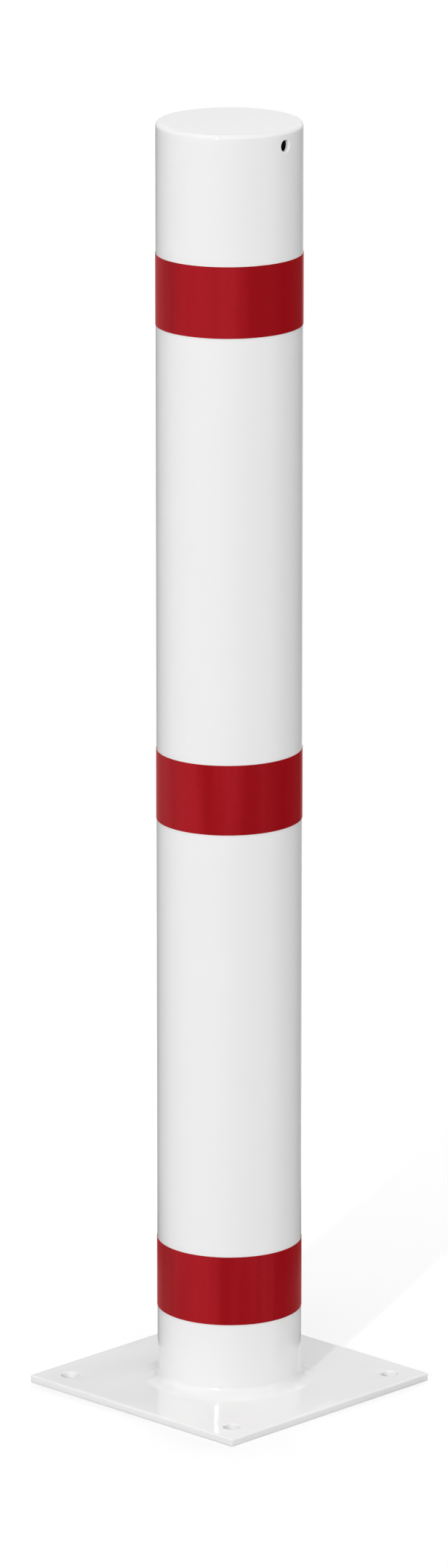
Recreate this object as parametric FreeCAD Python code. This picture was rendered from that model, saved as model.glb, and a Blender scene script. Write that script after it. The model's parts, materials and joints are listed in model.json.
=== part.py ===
"""Bolt-down barrier post: a capped steel tube welded to a square base plate, with three bands of film.

Millimetres, +Z up. The origin is the centre of the base plate's underside, which stands on the floor.
"""

import FreeCAD
import Part

import math
import os

Vector = FreeCAD.Vector

# Overall
post_height = 910.0  # floor to the top of the cap

# Tube, cut square at both ends
tube_diameter = 101.6
tube_wall = 3.6

# Base plate with its anchor holes and the drain under the tube
plate_side = 200.0
plate_thickness = 5.0
plate_edge_rounding = 1.0
anchor_inset = 20.0  # plate edge to the middle of an anchor hole
anchor_hole_diameter = 12.0
drain_diameter = 30.0

# Cap on the tube's end, smaller than the tube so that its weld lies in the step round it
cap_thickness = 4.0
cap_seat = 1.3  # how far the cap reaches out over the tube's wall
rim_land = 0.5  # straight weld metal left under the rounded rim

# Vent through the tube's wall, close under its end
vent_diameter = 9.0
vent_margin = 2.5  # tube end to the edge of the hole
vent_bearing = 3.0  # degrees from +X towards +Y

# Fillet weld round the foot of the tube
weld_leg = 7.0

# Bands of film, each wrapped once round the tube and lapped over its own start
band_width = 50.0
film_thickness = 0.3
film_lap = 12.0  # length of the second layer
film_lap_bearing = 130.0  # degrees from +X towards +Y, where the second layer starts
lower_band_lift = 53.5  # plate to the lower band's lower edge
upper_band_drop = 91.7  # top of the post to the upper band's upper edge
middle_band_lift = 2.6  # above half way between the other two

# Sizes that follow from those above
tube_radius = tube_diameter / 2
tube_bore_radius = tube_radius - tube_wall
tube_end = post_height - cap_thickness
cap_radius = tube_bore_radius + cap_seat
rim_radius = cap_thickness - rim_land
anchor_reach = plate_side / 2 - anchor_inset
lower_band_base = plate_thickness + lower_band_lift
upper_band_base = post_height - upper_band_drop - band_width
middle_band_base = (lower_band_base + upper_band_base) / 2 + middle_band_lift

UP = Vector(0, 0, 1)
ORIGIN = Vector(0, 0, 0)
FULL_TURN = 360
DIAGONAL = math.sqrt(0.5)  # each way along a 45 degree line of length 1
SAME_HEIGHT = 1e-6


def disc(radius, base, height):
    """A round bar on the post's axis, from base upwards."""
    return Part.makeCylinder(radius, height, Vector(0, 0, base), UP)


def point(radius, height):
    """A profile point, at a radius from the axis and a height above the floor."""
    return Vector(radius, 0, height)


def line(start, end):
    """A straight profile edge."""
    return Part.LineSegment(start, end).toShape()


def turned(edges):
    """The solid that a closed profile sweeps round the post's axis."""
    profile = Part.Face(Part.Wire(edges))
    return profile.revolve(ORIGIN, UP, FULL_TURN)


def level_edges(shape, height):
    """The edges of a shape that lie level at one height."""
    level = []
    for edge in shape.Edges:
        box = edge.BoundBox
        if abs(box.ZMin - height) < SAME_HEIGHT and abs(box.ZMax - height) < SAME_HEIGHT:
            level.append(edge)
    return level


def base_plate():
    """A cut plate with its top edges softened, an anchor hole at each corner and the drain in its middle."""
    half = plate_side / 2
    plate = Part.makeBox(plate_side, plate_side, plate_thickness, Vector(-half, -half, 0))
    plate = plate.makeFillet(plate_edge_rounding, level_edges(plate, plate_thickness))
    anchor_hole = disc(anchor_hole_diameter / 2, 0, plate_thickness)
    for x in (-anchor_reach, anchor_reach):
        for y in (-anchor_reach, anchor_reach):
            plate = plate.cut(anchor_hole.translated(Vector(x, y, 0)))
    return plate.cut(disc(drain_diameter / 2, 0, plate_thickness))


def post_tube():
    """The tube between the plate and the cap, with the vent drilled through one side of its wall."""
    length = tube_end - plate_thickness
    tube = disc(tube_radius, plate_thickness, length)
    tube = tube.cut(disc(tube_bore_radius, plate_thickness, length))
    bearing = math.radians(vent_bearing)
    outward = Vector(math.cos(bearing), math.sin(bearing), 0)
    vent_height = tube_end - vent_margin - vent_diameter / 2
    drill = Part.makeCylinder(vent_diameter / 2, tube_diameter, Vector(0, 0, vent_height), outward)
    return tube.cut(drill)


def foot_weld():
    """The bead in the corner between the tube and the plate, with equal legs on both."""
    root = point(tube_radius, plate_thickness)
    toe = point(tube_radius + weld_leg, plate_thickness)
    top = point(tube_radius, plate_thickness + weld_leg)
    return turned([line(root, toe), line(toe, top), line(top, root)])


def closed_end():
    """The post's whole end above the tube: a disc as wide as the tube, with its rim rounded over."""
    shoulder = post_height - rim_radius
    flat = tube_radius - rim_radius
    halfway = rim_radius * DIAGONAL
    rim_middle = point(flat + halfway, shoulder + halfway)
    return turned([
        line(point(0, tube_end), point(tube_radius, tube_end)),
        line(point(tube_radius, tube_end), point(tube_radius, shoulder)),
        Part.Arc(point(tube_radius, shoulder), rim_middle, point(flat, post_height)).toShape(),
        line(point(flat, post_height), point(0, post_height)),
        line(point(0, post_height), point(0, tube_end)),
    ])


def top_cap():
    """The cap that sits on the tube's end, its edge dressed into the rounded rim."""
    return closed_end().common(disc(cap_radius, tube_end, cap_thickness))


def cap_weld():
    """The weld that fills the step round the cap, dressed flush with the tube and rounded over."""
    return closed_end().cut(disc(cap_radius, tube_end, cap_thickness))


def band(base):
    """One turn of film round the tube, with a second layer where its end laps over its start."""
    first_layer = tube_radius + film_thickness
    second_layer = first_layer + film_thickness
    turn = disc(first_layer, base, band_width).cut(disc(tube_radius, base, band_width))
    lap_angle = math.degrees(film_lap / second_layer)
    lap = Part.makeCylinder(second_layer, band_width, Vector(0, 0, base), UP, lap_angle)
    lap = lap.cut(disc(first_layer, base, band_width))
    lap.rotate(ORIGIN, UP, film_lap_bearing)
    return turn.fuse(lap).removeSplitter()


nodes = {
    "base_plate": base_plate(),
    "post_tube": post_tube(),
    "foot_weld": foot_weld(),
    "top_cap": top_cap(),
    "cap_weld": cap_weld(),
    "lower_band": band(lower_band_base),
    "middle_band": band(middle_band_base),
    "upper_band": band(upper_band_base),
}

os.makedirs("parts", exist_ok=True)
for name, shape in nodes.items():
    solid = shape.Solids[0]
    solid.exportStep(f"parts/{name}.step")
    print(f"{name}: {len(shape.Solids)} solid, {solid.Volume:.1f} mm3, valid {solid.isValid()}")
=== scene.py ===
import json
import math

import bmesh
import bpy
import numpy as np
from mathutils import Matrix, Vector


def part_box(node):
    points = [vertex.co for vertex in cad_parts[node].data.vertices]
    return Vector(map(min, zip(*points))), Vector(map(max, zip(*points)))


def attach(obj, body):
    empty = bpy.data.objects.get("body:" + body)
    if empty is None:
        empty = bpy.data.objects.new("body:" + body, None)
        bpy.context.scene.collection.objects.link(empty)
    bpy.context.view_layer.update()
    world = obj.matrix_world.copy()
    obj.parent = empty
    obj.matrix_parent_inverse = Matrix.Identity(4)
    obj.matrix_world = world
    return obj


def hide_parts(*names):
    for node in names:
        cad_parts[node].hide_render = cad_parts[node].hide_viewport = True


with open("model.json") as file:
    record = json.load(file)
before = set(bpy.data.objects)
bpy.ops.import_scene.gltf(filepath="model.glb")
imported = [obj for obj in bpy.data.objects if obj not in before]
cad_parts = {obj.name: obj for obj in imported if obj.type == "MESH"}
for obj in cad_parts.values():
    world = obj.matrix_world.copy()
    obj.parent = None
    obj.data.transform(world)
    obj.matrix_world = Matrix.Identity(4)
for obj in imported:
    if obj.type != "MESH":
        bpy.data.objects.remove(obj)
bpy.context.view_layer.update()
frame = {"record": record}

# The looks of a bolt-down barrier post: a white coated tube on a square plate, with three bands of
# red film. Metres, +Z up, with the origin in the middle of the plate's underside. Bearings run from
# +X towards +Y.

MM = 0.001
FULL_TURN = 2 * math.pi
QUARTER_TURN = math.pi / 2
EIGHTH_TURN = math.pi / 4

# Sizes read from the solids
_, plate_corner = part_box("base_plate")
_, tube_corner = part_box("post_tube")
_, cap_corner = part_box("top_cap")
_, weld_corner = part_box("foot_weld")
anchors = next(mount["dims"] for mount in frame["record"]["mounts"] if mount["name"] == "anchor_holes")
PLATE_HALF = plate_corner.x
PLATE_TOP = plate_corner.z
TUBE_RADIUS = tube_corner.x
TUBE_END = tube_corner.z
POST_TOP = cap_corner.z
WELD_LEG = weld_corner.z - PLATE_TOP
ANCHOR_REACH = anchors["spacing_x_mm"] * MM / 2
ANCHOR_RADIUS = anchors["hole_r_mm"] * MM

# Sizes of the same solids that their boxes don't show
TUBE_WALL = 3.6 * MM
VENT_RADIUS = 4.5 * MM
VENT_MARGIN = 2.5 * MM  # tube end to the edge of the vent
VENT_BEARING = math.radians(3)
VENT_HEIGHT = TUBE_END - VENT_MARGIN - VENT_RADIUS
VENT_COATED_RADIUS = VENT_RADIUS - 0.4 * MM  # the coat narrows the drilled hole
DRAIN_RADIUS = 15 * MM
RIM_RADIUS = 3.5 * MM
PLATE_EDGE = 1.0 * MM
FILM_THICKNESS = 0.3 * MM
FILM_LAP = 12 * MM
FILM_LAP_BEARING = math.radians(130)

# Softness that the coat gives to edges and corners
COAT_LIP = 0.8 * MM
COAT_CORNER = 1.4 * MM
COAT_FOOT = 0.4 * MM
LIP_STEPS = 6

# Rise of each band over a quarter turn: film laid by hand runs slightly uphill or downhill
BAND_RISE = {"lower_band": -0.16 * MM, "middle_band": 0.52 * MM, "upper_band": 0.4 * MM}

JOIN_DISTANCE = 0.002 * MM  # points closer than this are one


def span(start, end, steps):
    """Even steps from start to end, both included."""
    return np.linspace(start, end, steps + 1)


def smooth(value, start, end):
    """A soft step, 3t^2 - 2t^3, where t runs from 0 at the start to 1 at the end."""
    part = np.clip((value - start) / (end - start), 0, 1)
    return part ** 2 * (3 - 2 * part)


def around(radius, bearing, height):
    """Points by radius, bearing and height: x = radius cos bearing, y = radius sin bearing and
    z = height."""
    radius, bearing, height = np.broadcast_arrays(radius, bearing, height)
    return np.stack([radius * np.cos(bearing), radius * np.sin(bearing), height], axis=-1)


def turned(radii, heights, columns):
    """A profile of radii and heights carried once round the post's axis."""
    return around(radii[:, None], span(0, FULL_TURN, columns)[None, :], heights[:, None])


def quarter_round(steps):
    """A rounded edge of radius 1: its distance from the wall, 1 - sin a, and from the face,
    1 - cos a, for angles a of a quarter turn."""
    angle = span(0, QUARTER_TURN, steps)
    return 1 - np.sin(angle), 1 - np.cos(angle)


def rounded_wall(top, top_rounding, bottom_rounding):
    """A wall from a height down to 0 with both edges rounded: how far it stands back, and its
    heights."""
    back, deep = quarter_round(LIP_STEPS)
    stand_back = np.concatenate([top_rounding * back, bottom_rounding * back[::-1]])
    heights = np.concatenate([top - top_rounding * deep, bottom_rounding * deep[::-1]])
    return stand_back, heights


def grid_mesh(name, grids):
    """A mesh from grids of points, in which neighbours on a grid make a quad."""
    points = []
    quads = []
    count = 0
    for grid in grids:
        rows, columns = grid.shape[:2]
        index = count + np.arange(rows * columns).reshape(rows, columns)
        corners = [index[:-1, :-1], index[:-1, 1:], index[1:, 1:], index[1:, :-1]]
        quads.append(np.stack(corners, axis=-1).reshape(-1, 4))
        points.append(grid.reshape(-1, 3))
        count += rows * columns
    mesh = bpy.data.meshes.new(name)
    mesh.from_pydata(np.concatenate(points).tolist(), [], np.concatenate(quads).tolist())
    return mesh


def closed_mesh(name, grids, crease):
    """A closed mesh from grids: points that meet are joined, faces are turned outwards, and edges
    sharper than the crease angle, in degrees, stay sharp under smooth shading."""
    mesh = grid_mesh(name, grids)
    body = bmesh.new()
    body.from_mesh(mesh)
    bmesh.ops.remove_doubles(body, verts=body.verts, dist=JOIN_DISTANCE)
    bmesh.ops.recalc_face_normals(body, faces=body.faces)
    body.to_mesh(mesh)
    body.free()
    mesh.shade_smooth()
    mesh.set_sharp_from_angle(angle=math.radians(crease))
    return mesh


def shown(name, mesh, material):
    """An object in the scene that shows a mesh in one material."""
    mesh.materials.append(material)
    shape = bpy.data.objects.new(name, mesh)
    bpy.context.scene.collection.objects.link(shape)
    return shape


def piece(name, grids, material, slot, *nodes, crease=35):
    """A finished piece of the post, which stands for its solids in one material; the slot is not used.
    """
    shape = shown(name, closed_mesh(name, grids, crease), material)
    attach(shape, "root")
    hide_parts(*nodes)
    return shape


# Tube

TUBE_COLUMNS = 256
TUBE_ROWS = 28
PATCH_COLUMNS = 12  # the square of wall round the vent, as wide as this many of the tube's columns
PATCH_SIDES = 4
PATCH_RAYS = PATCH_SIDES * PATCH_COLUMNS
PATCH_RINGS = 5
PATCH_HALF_ANGLE = FULL_TURN / TUBE_COLUMNS * PATCH_COLUMNS / 2
PATCH_HALF_HEIGHT = TUBE_END - VENT_HEIGHT


def tube_wall(radius):
    """The wall at one radius, bearing against height: all round below the vent's patch, and beside
    the patch."""
    bearings = VENT_BEARING + span(0, FULL_TURN, TUBE_COLUMNS)
    half = PATCH_COLUMNS // 2
    patch_base = VENT_HEIGHT - PATCH_HALF_HEIGHT
    below = around(radius, bearings[None, :], span(PLATE_TOP, patch_base, TUBE_ROWS)[:, None])
    patch_heights = span(patch_base, TUBE_END, PATCH_COLUMNS)
    beside = around(radius, bearings[None, half:-half], patch_heights[:, None])
    return [below, beside]


def at_vent(across, up, depth):
    """Points by their distance across and up from the vent's middle, at a depth under the tube's
    surface. The vent is drilled straight, so along it a point lies at the root of
    (radius - depth)^2 - across^2."""
    along = np.sqrt((TUBE_RADIUS - depth) ** 2 - across ** 2)
    x = along * math.cos(VENT_BEARING) - across * math.sin(VENT_BEARING)
    y = along * math.sin(VENT_BEARING) + across * math.cos(VENT_BEARING)
    return np.stack([x, y, VENT_HEIGHT + up], axis=-1)


def vent_angles():
    """The rays round the vent, one for each step along its patch's sides, from the lower right
    corner."""
    return span(-EIGHTH_TURN, FULL_TURN - EIGHTH_TURN, PATCH_RAYS)


def vent_patch(depth):
    """The wall round the vent: each ray runs evenly from the hole's lip to the edge of the square
    patch."""
    step = np.arange(PATCH_RAYS + 1)
    corner = PATCH_COLUMNS * np.arange(PATCH_SIDES + 1)
    side = np.interp(step, corner, [1, 1, -1, -1, 1])
    rise = np.interp(step, corner, [-1, 1, 1, -1, -1])
    edge_across = (TUBE_RADIUS - depth) * np.sin(side * PATCH_HALF_ANGLE)
    edge_up = rise * PATCH_HALF_HEIGHT
    reach = VENT_COATED_RADIUS + COAT_LIP
    part = span(0, 1, PATCH_RINGS)[:, None]
    across = (1 - part) * reach * np.cos(vent_angles()) + part * edge_across
    up = (1 - part) * reach * np.sin(vent_angles()) + part * edge_up
    return at_vent(across, up, depth)


def vent_bore():
    """The vent through the wall: the wall's profile, rounded at both faces, carried round the hole."""
    stand_back, above_bore = rounded_wall(TUBE_WALL, COAT_LIP, COAT_LIP)
    radius = VENT_COATED_RADIUS + stand_back[:, None]
    depth = TUBE_WALL - above_bore[:, None]
    return at_vent(radius * np.cos(vent_angles()), radius * np.sin(vent_angles()), depth)


def tube_end_ring(height):
    """The tube's cut end at one height, from its outer wall to its bore."""
    bearings = VENT_BEARING + span(0, FULL_TURN, TUBE_COLUMNS)
    radii = np.array([TUBE_RADIUS, TUBE_RADIUS - TUBE_WALL])
    return around(radii[:, None], bearings[None, :], height)


def tube_grids():
    """The tube's outer wall and bore, both ends, and the vent with the wall round it."""
    walls = tube_wall(TUBE_RADIUS) + tube_wall(TUBE_RADIUS - TUBE_WALL)
    vent = [vent_patch(0.0), vent_patch(TUBE_WALL), vent_bore()]
    return walls + vent + [tube_end_ring(PLATE_TOP), tube_end_ring(TUBE_END)]


# Closed end: the cap and the weld round it, one surface under the coat

RIM_STEPS = 24


def closed_end_grids():
    """A profile carried round the axis: the flat top, the rim's quarter round, the side and the seat
    below."""
    back, deep = quarter_round(RIM_STEPS)
    radii = np.concatenate([[0], TUBE_RADIUS - RIM_RADIUS * back, [TUBE_RADIUS, 0]])
    heights = np.concatenate([[POST_TOP], POST_TOP - RIM_RADIUS * deep, [TUBE_END, TUBE_END]])
    return [turned(radii, heights, TUBE_COLUMNS)]


# Base plate, made from eighths: each runs from a middle line to a diagonal and holds half a hole

DRAIN_STEPS = 5
MIDLINE_STEPS = 9
SIDE_STEPS = 22
CORNER_STEPS = 4
PLATE_RINGS = 6


def plate_side_path():
    """The plate's outline along one eighth, as a core line and the way outwards: half of a side, with
    points at even angles as seen from the anchor hole, and then half of the rounded corner."""
    inset = PLATE_HALF - ANCHOR_REACH
    core_end = PLATE_HALF - COAT_CORNER
    start = math.atan2(-ANCHOR_REACH, inset)
    end = math.atan2(core_end - ANCHOR_REACH, inset)
    along = ANCHOR_REACH + inset * np.tan(span(start, end, SIDE_STEPS))
    turn = span(0, EIGHTH_TURN, CORNER_STEPS)
    core_y = np.concatenate([along, np.full(CORNER_STEPS + 1, core_end)])
    core = np.stack([np.full(core_y.shape, core_end), core_y], axis=-1)
    facing = np.concatenate([np.zeros(SIDE_STEPS + 1), turn])
    return core, np.stack([np.cos(facing), np.sin(facing)], axis=-1)


def plate_eighth_edge(inset):
    """The border of one eighth at an inset from the side: the drain's arc, the middle line, and the
    side path moved out by the corner rounding less the inset."""
    turn = span(EIGHTH_TURN, 0, DRAIN_STEPS)
    drain = DRAIN_RADIUS * np.stack([np.cos(turn), np.sin(turn)], axis=-1)
    start = math.atan2(DRAIN_RADIUS - ANCHOR_REACH, ANCHOR_REACH)
    end = math.atan2(PLATE_HALF - inset - ANCHOR_REACH, ANCHOR_REACH)
    midline_x = ANCHOR_REACH + ANCHOR_REACH * np.tan(span(start, end, MIDLINE_STEPS))
    midline = np.stack([midline_x, np.zeros(midline_x.shape)], axis=-1)
    core, outwards = plate_side_path()
    return np.concatenate([drain, midline, core + (COAT_CORNER - inset) * outwards])


def raised(points, height):
    """Flat points lifted to a height."""
    height = np.broadcast_to(height, points.shape[:-1])
    return np.concatenate([points, height[..., None]], axis=-1)


def plate_eighth_grids():
    """One eighth: the faces run evenly from the anchor hole to the border, the side is its rounded
    profile carried along the outline, and the hole and the drain are profiles carried round them."""
    middle = np.array([ANCHOR_REACH, ANCHOR_REACH])
    rays = plate_eighth_edge(PLATE_EDGE) - middle
    rays = rays / np.linalg.norm(rays, axis=-1, keepdims=True)
    part = span(0, 1, PLATE_RINGS)[:, None, None]
    top_lip = middle + (ANCHOR_RADIUS + COAT_LIP) * rays
    top = (1 - part) * top_lip + part * plate_eighth_edge(PLATE_EDGE)
    bottom_lip = middle + (ANCHOR_RADIUS + COAT_FOOT) * rays
    bottom = (1 - part) * bottom_lip + part * plate_eighth_edge(COAT_FOOT)
    core, outwards = plate_side_path()
    stand_back, side_heights = rounded_wall(PLATE_TOP, PLATE_EDGE, COAT_FOOT)
    side = core + (COAT_CORNER - stand_back)[:, None, None] * outwards
    stand_back, hole_heights = rounded_wall(PLATE_TOP, COAT_LIP, COAT_FOOT)
    hole = middle + (ANCHOR_RADIUS + stand_back)[:, None, None] * rays
    turn = span(0, EIGHTH_TURN, DRAIN_STEPS)
    drain = around(DRAIN_RADIUS, turn[None, :], np.array([[PLATE_TOP], [0]]))
    return [
        raised(top, PLATE_TOP),
        raised(bottom, 0.0),
        raised(side, side_heights[:, None]),
        raised(hole, hole_heights[:, None]),
        drain,
    ]


def plate_grids():
    """Eight copies of one eighth: mirrored in the diagonal, and each pair turned to the four
    corners."""
    mirror = np.array([[0, 1, 0], [1, 0, 0], [0, 0, 1]])
    quarter = np.array([[0, -1, 0], [1, 0, 0], [0, 0, 1]])
    eighth = plate_eighth_grids()
    corner = eighth + [grid @ mirror for grid in eighth]
    return [grid @ np.linalg.matrix_power(quarter, turns) for turns in range(4) for grid in corner]


# Weld bead round the foot of the tube

BEAD_COLUMNS = 720
BEAD_ROWS = 30
BEAD_ROOT = -0.3 * MM  # the bead reaches into the tube and the plate, so that its edge doesn't show
BEAD_RISE = 0.8  # shares of the weld's leg that the bead climbs on the tube and spreads on the plate
BEAD_SPREAD = 1.25
BEAD_TAPER = 2.4 * MM  # length over which the bead runs out on the tube and on the plate
BEAD_EDGE = 0.03  # shares of a leg at which the hollow curve of the bead is held
BEAD_FLANK = 0.16
BEAD_MIDDLE = 0.46
BEAD_CROWN = 0.1 * MM
BEAD_UNEVEN = 0.28 * MM
BEAD_RIPPLE = 0.01 * MM
BEAD_RIPPLES = 150  # freezing ripples in one turn
BEAD_LUMPS = [(3, 0.5, 0.7), (7, 0.5, 2.0), (13, 0.45, 4.4), (23, 0.3, 1.1), (37, 0.12, 5.2)]
BEAD_WIDTH_SHIFT = 1.9  # turns the lumps of the width and the crown against those of the height
BEAD_CROWN_SHIFT = 0.8


def waves(bearing, parts, shift=0.0):
    """A sum of sine waves round the post, each with its count in one turn, its share and its phase."""
    return sum(share * np.sin(count * bearing + phase + shift * count) for count, share, phase in parts)


def curve_weights(controls, rows):
    """How much each control point of a cubic B-spline adds to each row: 2/3 - x^2 + x^3/2 within one
    step of it and (2 - x)^3/6 within two."""
    distance = np.abs(span(1, controls - 2, rows)[:, None] - np.arange(controls))
    near = 2 / 3 - distance ** 2 + distance ** 3 / 2
    far = np.clip(2 - distance, 0, None) ** 3 / 6
    return np.where(distance < 1, near, far)


def foot_weld_grids():
    """A bead's section carried round the tube: a smooth hollow curve that leaves the tube and runs out
    on the plate, with legs and a crown that change a little along the way, closed at the root."""
    bearing = span(0, FULL_TURN, BEAD_COLUMNS)
    height = BEAD_RISE * WELD_LEG + BEAD_UNEVEN * waves(bearing, BEAD_LUMPS)
    width_lumps = waves(bearing, BEAD_LUMPS, shift=BEAD_WIDTH_SHIFT)
    width = BEAD_SPREAD * WELD_LEG + 2 * BEAD_UNEVEN * width_lumps
    ripple = BEAD_RIPPLE * np.sin(BEAD_RIPPLES * bearing + 2 * waves(bearing, BEAD_LUMPS))
    crown_lumps = waves(bearing, BEAD_LUMPS, shift=BEAD_CROWN_SHIFT)
    crown = BEAD_CROWN + BEAD_UNEVEN * crown_lumps / 2 + ripple
    taper = np.full(bearing.shape, BEAD_TAPER)
    sunk = np.full(bearing.shape, BEAD_ROOT)
    reach = [sunk, sunk / 4, BEAD_EDGE * width, BEAD_FLANK * width + crown, BEAD_MIDDLE * width + crown,
             width, width + taper / 2, width + taper]
    rise = [height + taper, height + taper / 2, height, BEAD_MIDDLE * height + crown,
            BEAD_FLANK * height + crown, BEAD_EDGE * height, sunk / 4, sunk]
    weights = curve_weights(len(reach), BEAD_ROWS)
    radii = TUBE_RADIUS + np.concatenate([weights @ np.array(reach), [sunk]])
    heights = PLATE_TOP + np.concatenate([weights @ np.array(rise), [sunk]])
    closing = np.arange(len(radii) + 1) % len(radii)
    return [around(radii[closing], bearing, heights[closing])]


# Bands of film

BAND_COLUMNS = 320
BAND_ROWS = 4
LAP_RAMP = 5 * MM  # length over which the film climbs onto its own start


def band_grids(name):
    """A strip laid along a slightly rising path round the tube: over the last stretch of the first
    turn it climbs by its own thickness, with a 3t^2 - 2t^3 ramp, and laps over its start."""
    low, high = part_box(name)
    turn = span(0, FULL_TURN + FILM_LAP / TUBE_RADIUS, BAND_COLUMNS)
    climb = smooth(turn, FULL_TURN - LAP_RAMP / TUBE_RADIUS, FULL_TURN)
    seat = TUBE_RADIUS + FILM_THICKNESS * climb
    bearing = FILM_LAP_BEARING + turn
    base = low.z + BAND_RISE[name] * (bearing - FRONT_BEARING - FULL_TURN) / QUARTER_TURN
    across = span(0, high.z - low.z, BAND_ROWS)[:, None]
    outer = around(seat + FILM_THICKNESS, bearing, base + across)
    inner = around(seat, bearing, base + across)
    rims = [np.stack([outer[row], inner[row]]) for row in (0, -1)]
    ends = [np.stack([outer[:, column], inner[:, column]]) for column in (0, -1)]
    return [outer, inner] + rims + ends


# Viewpoint of the photograph: an azimuth round the post, a height of sight, a distance and a lens

CAMERA_AZIMUTH = math.radians(44.2)
CAMERA_ELEVATION = math.radians(15.2)
CAMERA_DISTANCE = 6.5
AIM_HEIGHT = 439.27 * MM
AIM_RIGHT = -3.75 * MM
FOCAL_PIXELS = 12625
FRAME_PIXELS = 2126  # the frame's long side
SENSOR = 36.0  # millimetres along the same side
FRONT_BEARING = CAMERA_AZIMUTH - QUARTER_TURN  # the side of the post that faces the camera


def towards(azimuth, elevation):
    """The way from the post to a place at an azimuth round it and an elevation."""
    level = math.cos(elevation)
    return Vector((math.sin(azimuth) * level, -math.cos(azimuth) * level, math.sin(elevation)))


def add_camera():
    """The camera at the photograph's viewpoint, which looks down at the post, without shift."""
    data = bpy.data.cameras.new("camera")
    data.sensor_width = SENSOR
    data.lens = FOCAL_PIXELS / FRAME_PIXELS * SENSOR
    camera = bpy.data.objects.new("camera", data)
    back = towards(CAMERA_AZIMUTH, CAMERA_ELEVATION)
    right = Vector((math.cos(CAMERA_AZIMUTH), math.sin(CAMERA_AZIMUTH), 0))
    camera.location = Vector((0, 0, AIM_HEIGHT)) + AIM_RIGHT * right + CAMERA_DISTANCE * back
    camera.rotation_euler = back.to_track_quat("Z", "Y").to_euler()
    bpy.context.scene.collection.objects.link(camera)
    bpy.context.scene.camera = camera


# Shader maths

class Socket:
    """A node's output that Python's operators work on: each operation adds one Math node."""

    def __init__(self, nodes, output):
        self.nodes = nodes
        self.output = output

    def maths(self, operation, first, second):
        """A Math node on two values."""
        return self.nodes.add("ShaderNodeMath", {"operation": operation}, {0: first, 1: second})

    def __add__(self, other):
        return self.maths("ADD", self, other)

    def __radd__(self, other):
        return self.maths("ADD", other, self)

    def __sub__(self, other):
        return self.maths("SUBTRACT", self, other)

    def __rsub__(self, other):
        return self.maths("SUBTRACT", other, self)

    def __mul__(self, other):
        return self.maths("MULTIPLY", self, other)

    def __rmul__(self, other):
        return self.maths("MULTIPLY", other, self)


class Nodes:
    """A node tree that is emptied and then filled through one method."""

    def __init__(self, tree):
        self.tree = tree
        tree.nodes.clear()

    def add(self, kind, settings, sockets, output=0):
        """Adds a node, sets its settings first and then its sockets' values or links, and gives one
        output."""
        node = self.tree.nodes.new(kind)
        for name, value in settings.items():
            setattr(node, name, value)
        for key, value in sockets.items():
            if isinstance(value, Socket):
                self.tree.links.new(value.output, node.inputs[key])
            else:
                node.inputs[key].default_value = value
        return Socket(self, node.outputs[output]) if node.outputs else None

    def noise(self, place, size, detail=2.0):
        """Noise of 0 to 1 with features of about one size."""
        return self.add("ShaderNodeTexNoise", {}, {
            "Vector": place, "Scale": 1 / size, "Detail": detail})

    def blend(self, share, first, second):
        """A colour between two colours."""
        return self.add("ShaderNodeMix", {"data_type": "RGBA"}, {
            0: share, 6: first, 7: second}, output=2)

    def soft_step(self, value, start, end):
        """0 up to the start and 1 from the end, with a 3t^2 - 2t^3 step between them."""
        return self.add("ShaderNodeMapRange", {"interpolation_type": "SMOOTHSTEP"}, {
            "Value": value, "From Min": start, "From Max": end})

    def seen(self):
        """1 where a camera, glossy or transmitted ray looks, and 0 for light that bounces off matt
        surfaces."""
        rays = [self.add("ShaderNodeLightPath", {}, {}, output=name)
                for name in ("Is Camera Ray", "Is Glossy Ray", "Is Transmission Ray")]
        return rays[0] + rays[1] + rays[2]


def new_material(name):
    """An empty material and its nodes."""
    material = bpy.data.materials.new(name)
    material.use_nodes = True
    return material, Nodes(material.node_tree)


def grey(level):
    """A neutral colour."""
    return (level, level, level, 1)


# White powder coat

WHITE_DEEP = (0.80, 0.803, 0.803, 1)
WHITE_PALE = (0.825, 0.826, 0.824, 1)
CLOUD_SIZE = 90 * MM  # patches in which the white changes a little
PEEL_SIZE = 2.2 * MM
SAG_SIZE = 11 * MM
COAT_RELIEF = 0.06 * MM


def white_coat():
    """White gloss powder coat: nearly even, with the slight orange peel that such coats dry with."""
    material, nodes = new_material("white_powder_coat")
    place = nodes.add("ShaderNodeTexCoord", {}, {}, output="Object")
    cloud = nodes.noise(place, CLOUD_SIZE)
    peel = nodes.noise(place, PEEL_SIZE, detail=1.0)
    sag = nodes.noise(place, SAG_SIZE, detail=1.0)
    colour = nodes.blend(cloud, WHITE_DEEP, WHITE_PALE)
    normal = nodes.add("ShaderNodeBump", {}, {
        "Strength": 0.35, "Distance": COAT_RELIEF, "Height": 0.35 * peel + 0.9 * sag})
    shader = nodes.add("ShaderNodeBsdfPrincipled", {}, {
        "Base Color": colour, "Roughness": 0.06 + 0.05 * cloud, "IOR": 1.5, "Normal": normal})
    nodes.add("ShaderNodeOutputMaterial", {}, {"Surface": shader})
    return material


# Red film

RED_DEEP = (0.232, 0.0003, 0.003, 1)  # between the glass beads, and the same lightened by painted sheen
RED_DEEP_PAINTED_SHEEN = (0.295, 0.0055, 0.0105, 1)
RED_BRIGHT = (0.345, 0.0005, 0.005, 1)  # on the glass beads, and the same lightened by painted sheen
RED_BRIGHT_PAINTED_SHEEN = (0.43, 0.008, 0.015, 1)
GRAIN_SIZE = 0.8 * MM
FILM_RELIEF = 0.02 * MM
STREAK_SIZE = 20 * MM
STREAK_SQUEEZE = (1, 1, 0.05)  # heights count this little, so that the streaks of painted reflection stand upright
PAINTED_LIGHT_BEARING = math.radians(224)  # the side of the post on which the painted light on the film is strongest
PAINTED_SHEEN_START = 0.385
PAINTED_SHEEN_FULL = 0.685


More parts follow.
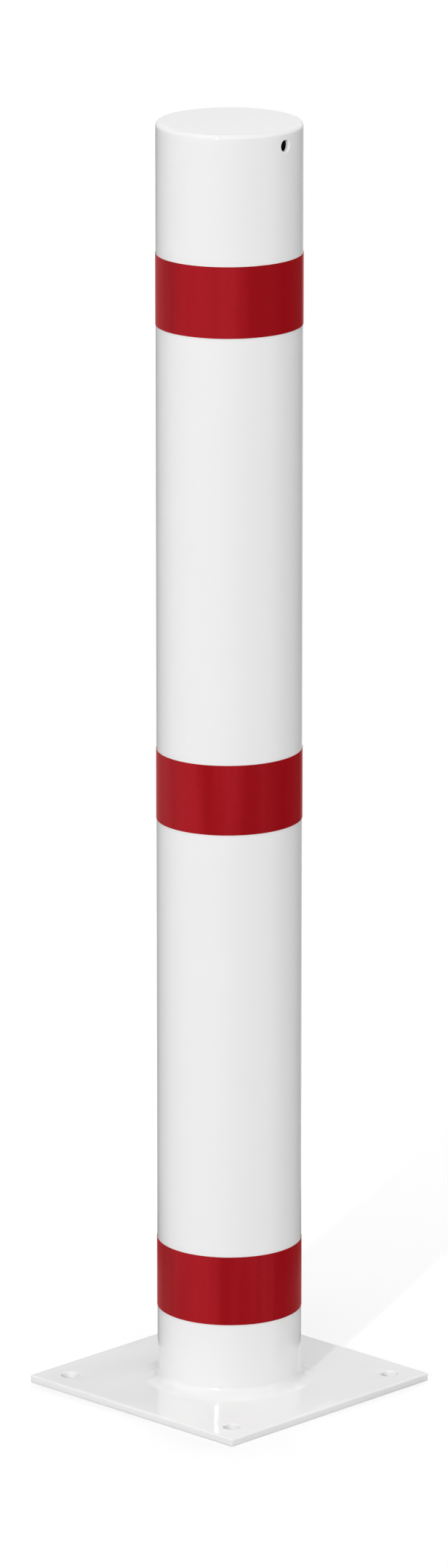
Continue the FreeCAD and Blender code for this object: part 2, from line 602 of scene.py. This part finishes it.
def red_film():
    """Red reflective film: a fine grain of glass beads under a clear face, with a painted sheen that
    lightens
    and pales the red: upright streaks of painted reflection that come and go, and painted light that is
    stronger on one side of the post."""
    material, nodes = new_material("red_bead_film")
    place = nodes.add("ShaderNodeTexCoord", {}, {}, output="Object")
    tall = nodes.add("ShaderNodeVectorMath", {"operation": "MULTIPLY"}, {
        0: place, 1: STREAK_SQUEEZE})
    # Painted light: the film is drawn lighter towards one side of the post
    painted_light_way = (math.cos(PAINTED_LIGHT_BEARING) / TUBE_RADIUS, math.sin(PAINTED_LIGHT_BEARING) / TUBE_RADIUS, 0)
    side = nodes.add("ShaderNodeVectorMath", {"operation": "DOT_PRODUCT"}, {
        0: place, 1: painted_light_way}, output="Value")
    beads = nodes.noise(place, GRAIN_SIZE)
    streak = nodes.noise(tall, STREAK_SIZE, detail=4.0)
    # Painted sheen: upright streaks of painted reflection, with painted light stronger on one side of
    # the post
    painted_sheen = nodes.soft_step(0.88 * streak + 0.12 * beads + 0.11 * side, PAINTED_SHEEN_START, PAINTED_SHEEN_FULL)
    dark_red = nodes.blend(painted_sheen, RED_DEEP, RED_DEEP_PAINTED_SHEEN)
    light_red = nodes.blend(painted_sheen, RED_BRIGHT, RED_BRIGHT_PAINTED_SHEEN)
    colour = nodes.blend(beads, dark_red, light_red)
    normal = nodes.add("ShaderNodeBump", {}, {
        "Strength": 0.2, "Distance": FILM_RELIEF, "Height": beads})
    shader = nodes.add("ShaderNodeBsdfPrincipled", {}, {
        "Base Color": colour, "Roughness": 0.16 + 0.1 * beads, "IOR": 1.17, "Normal": normal,
        "Sheen Weight": 0.3, "Sheen Roughness": 0.4, "Sheen Tint": (1.0, 0.12, 0.12, 1)})
    nodes.add("ShaderNodeOutputMaterial", {}, {"Surface": shader})
    return material


# Studio: a white floor and surround, soft lamps, and a dark card that only gloss shows

FLOOR_HALF = 60.0
FLOOR_DROP = 0.3 * MM  # keeps the floor clear of the plate's underside
FLOOR_LAP = 3 * MM  # how far the floor reaches under the plate
FLOOR_SEEN = 0.6  # the floor's white as it is seen, to which its own glow is added
FLOOR_GLOW = 0.34
FLOOR_BOUNCE = 0.55  # the floor's white for the light that it throws back
FLOOR_FADE_START = 0.7  # distances from the post between which the lit floor turns into plain white
FLOOR_FADE_END = 1.6
SKY_ZENITH = 0.15  # light from straight above, and from below the floor
UNDER_GLOW = 0.7
OVERHEAD_START = 0.4  # sines of the elevations between which the surround turns darker for gloss
OVERHEAD_FULL = 0.7
OVERHEAD_SHADE = 0.8
CARD_RADIUS = 0.17
CARD_COLUMNS = 115
CARD_ROWS = 60
CARD_FLOOR_ROWS = 8
CARD_START = 50.0  # degrees from the camera's side, right positive: white here and dark from the next
CARD_DARK = 84.0
CARD_PALE = 230.0  # starts to turn white again, until the card's end
CARD_END = 290.0
CARD_SHADE = 0.03  # how pale the card is on the right of the post, behind it and on the left
CARD_BACK_SHADE = 0.8
CARD_LEFT_SHADE = 0.22
CARD_BACK_RISE = (133.0, 158.0)  # degrees between which these follow each other
CARD_BACK_FALL = (170.0, 212.0)
CARD_FOOT = 0.03  # height of the foot, which is the same on all sides
CARD_FOOT_SHADE = 0.2
CARD_RISE = 0.08  # how far the card stands above the post
CARD_TOP_SHADE = 0.73
LAMP_TARGET = Vector((0, 0, 0.45))  # the middle of the post, which the lamps face


def floor_material():
    """Pale floor: white with the post's shadow where it is seen, a little darker for the light it
    throws back, and clear from below, so that the underside can be looked at."""
    material, nodes = new_material("pale_floor")
    lit = nodes.add("ShaderNodeBsdfDiffuse", {}, {"Color": grey(FLOOR_SEEN)})
    glow = nodes.add("ShaderNodeEmission", {}, {"Strength": FLOOR_GLOW})
    near = nodes.add("ShaderNodeAddShader", {}, {0: lit, 1: glow})
    far = nodes.add("ShaderNodeEmission", {}, {"Strength": 1.0})
    place = nodes.add("ShaderNodeTexCoord", {}, {}, output="Object")
    away = nodes.add("ShaderNodeVectorMath", {"operation": "LENGTH"}, {0: place}, output="Value")
    fade = nodes.soft_step(away, FLOOR_FADE_START, FLOOR_FADE_END)
    white = nodes.add("ShaderNodeMixShader", {}, {0: fade, 1: near, 2: far})
    bounce = nodes.add("ShaderNodeBsdfDiffuse", {}, {"Color": grey(FLOOR_BOUNCE)})
    above = nodes.add("ShaderNodeMixShader", {}, {0: nodes.seen(), 1: bounce, 2: white})
    below = nodes.add("ShaderNodeBsdfTransparent", {}, {})
    behind = nodes.add("ShaderNodeNewGeometry", {}, {}, output="Backfacing")
    shader = nodes.add("ShaderNodeMixShader", {}, {0: behind, 1: above, 2: below})
    nodes.add("ShaderNodeOutputMaterial", {}, {"Surface": shader})
    material.cycles.emission_sampling = "NONE"
    return material


def add_floor():
    """A flat square frame, corner against inset, which is open where the plate stands on it, so that
    light reaches the holes and the underside from below."""
    corner = span(EIGHTH_TURN, FULL_TURN + EIGHTH_TURN, 4)
    half = np.array([[FLOOR_HALF], [PLATE_HALF - FLOOR_LAP]])
    grid = around(math.sqrt(2) * half, corner, -FLOOR_DROP)
    shown("floor", grid_mesh("floor", [grid]), floor_material())


def add_surround():
    """White surround where it is seen, though gloss sees it darker overhead; as light, a sky that is
    brightest overhead, by height squared, and an even glow from below the floor."""
    world = bpy.data.worlds.new("surround")
    world.use_nodes = True
    nodes = Nodes(world.node_tree)
    way = nodes.add("ShaderNodeTexCoord", {}, {}, output="Generated")
    height = nodes.add("ShaderNodeSeparateXYZ", {}, {"Vector": way}, output="Z")
    under = nodes.add("ShaderNodeMath", {"operation": "LESS_THAN"}, {0: height, 1: 0.0})
    light = SKY_ZENITH * height * height * (1 - under) + UNDER_GLOW * under
    gloss = nodes.add("ShaderNodeLightPath", {}, {}, output="Is Glossy Ray")
    overhead = nodes.soft_step(height, OVERHEAD_START, OVERHEAD_FULL)
    seen = nodes.seen()
    strength = seen - OVERHEAD_SHADE * gloss * overhead + (1 - seen) * light
    background = nodes.add("ShaderNodeBackground", {}, {"Color": grey(1), "Strength": strength})
    nodes.add("ShaderNodeOutputWorld", {}, {"Surface": background})
    bpy.context.scene.world = world


def add_card(name):
    """A dark card bent round the post, which also covers the floor as far as the plate: a profile of
    radii and heights carried along the bearings. Only gloss shows it. It turns white smoothly towards
    both its ends, and is paler behind the post, above it and at its own foot."""
    material, nodes = new_material(name)
    level = nodes.add("ShaderNodeAttribute", {"attribute_name": "level"}, {}, output="Fac")
    glow = nodes.add("ShaderNodeEmission", {}, {"Color": level, "Strength": 1.0})
    nodes.add("ShaderNodeOutputMaterial", {}, {"Surface": glow})
    material.cycles.emission_sampling = "NONE"
    bearing = span(CARD_START, CARD_END, CARD_COLUMNS)[None, :]
    over_floor = span(PLATE_HALF, CARD_RADIUS, CARD_FLOOR_ROWS)
    upright = span(0, POST_TOP + CARD_RISE, CARD_ROWS)
    radius = np.concatenate([over_floor, np.full(upright.shape, CARD_RADIUS)])[:, None]
    height = np.concatenate([np.zeros(over_floor.shape), upright])[:, None]
    dark = smooth(bearing, CARD_START, CARD_DARK) * smooth(bearing, CARD_END, CARD_PALE)
    above_foot = smooth(height, CARD_FOOT, 2 * CARD_FOOT)
    shade = CARD_FOOT_SHADE + (CARD_SHADE - CARD_FOOT_SHADE) * above_foot
    fall = smooth(bearing, *CARD_BACK_FALL)
    back = CARD_BACK_SHADE + (CARD_LEFT_SHADE - CARD_BACK_SHADE) * fall
    behind = smooth(bearing, *CARD_BACK_RISE) * smooth(height, 2 * CARD_FOOT, 4 * CARD_FOOT)
    shade = shade + (back - shade) * behind
    shade = shade + (CARD_TOP_SHADE - shade) * smooth(height, POST_TOP - CARD_FOOT, POST_TOP)
    mesh = grid_mesh(name, [around(radius, FRONT_BEARING + np.radians(bearing), height)])
    levels = mesh.attributes.new("level", "FLOAT", "POINT")
    levels.data.foreach_set("value", (1 - dark * (1 - shade)).ravel())
    card = shown(name, mesh, material)
    card.visible_camera = False
    card.visible_diffuse = False
    card.visible_shadow = False
    card.visible_transmission = False


def add_lamp(name, bearing, elevation, distance, width, height, level, glint=False):
    """A rectangular lamp that faces the post, at a bearing from the camera's side, right positive, and
    an elevation, both in degrees. Its power is level x pi^2 x distance^2, which lights a white wall
    that faces it to that level. Gloss shows it only where it is to glint."""
    data = bpy.data.lights.new(name, "AREA")
    data.shape = "RECTANGLE"
    data.size = width
    data.size_y = height
    data.energy = level * math.pi ** 2 * distance ** 2
    lamp = bpy.data.objects.new(name, data)
    way = towards(CAMERA_AZIMUTH + math.radians(bearing), math.radians(elevation))
    lamp.location = LAMP_TARGET + distance * way
    lamp.rotation_euler = way.to_track_quat("Z", "Y").to_euler()
    lamp.visible_glossy = glint
    bpy.context.scene.collection.objects.link(lamp)


def dress_post():
    """Every piece of the post, in its finish."""
    white = white_coat()
    red = red_film()
    piece("plate", plate_grids(), white, "white_coat", "base_plate")
    piece("tube", tube_grids(), white, "white_coat", "post_tube")
    piece("weld_bead", foot_weld_grids(), white, "white_coat", "foot_weld", crease=80)
    piece("closed_end", closed_end_grids(), white, "white_coat", "top_cap", "cap_weld")
    for name in BAND_RISE:
        piece(name + "_film", band_grids(name), red, "red_film", name)


def light_studio():
    """The floor, the surround, the lamps and the card. Each lamp has its bearing, elevation, distance,
    width, height and level."""
    add_floor()
    add_surround()
    add_lamp("spot", -20, 16.35, 9.0, 0.21, 0.21, 0.44, glint=True)
    add_lamp("front_box", -5, 8, 10.0, 8.0, 3.2, 0.165)
    add_lamp("left_box", -100, 8, 10.0, 4.0, 3.2, 0.12)
    add_lamp("right_box", 106, 8, 10.0, 4.5, 3.2, 0.38)
    add_lamp("back_box", 180, 22, 10.0, 13.0, 4.5, 0.9)
    add_lamp("overhead_box", 0, 80, 20.0, 13.3, 13.3, 0.715)
    add_card("dark_surround")


dress_post()
light_studio()
add_camera()
bpy.context.scene.view_settings.view_transform = "Standard"
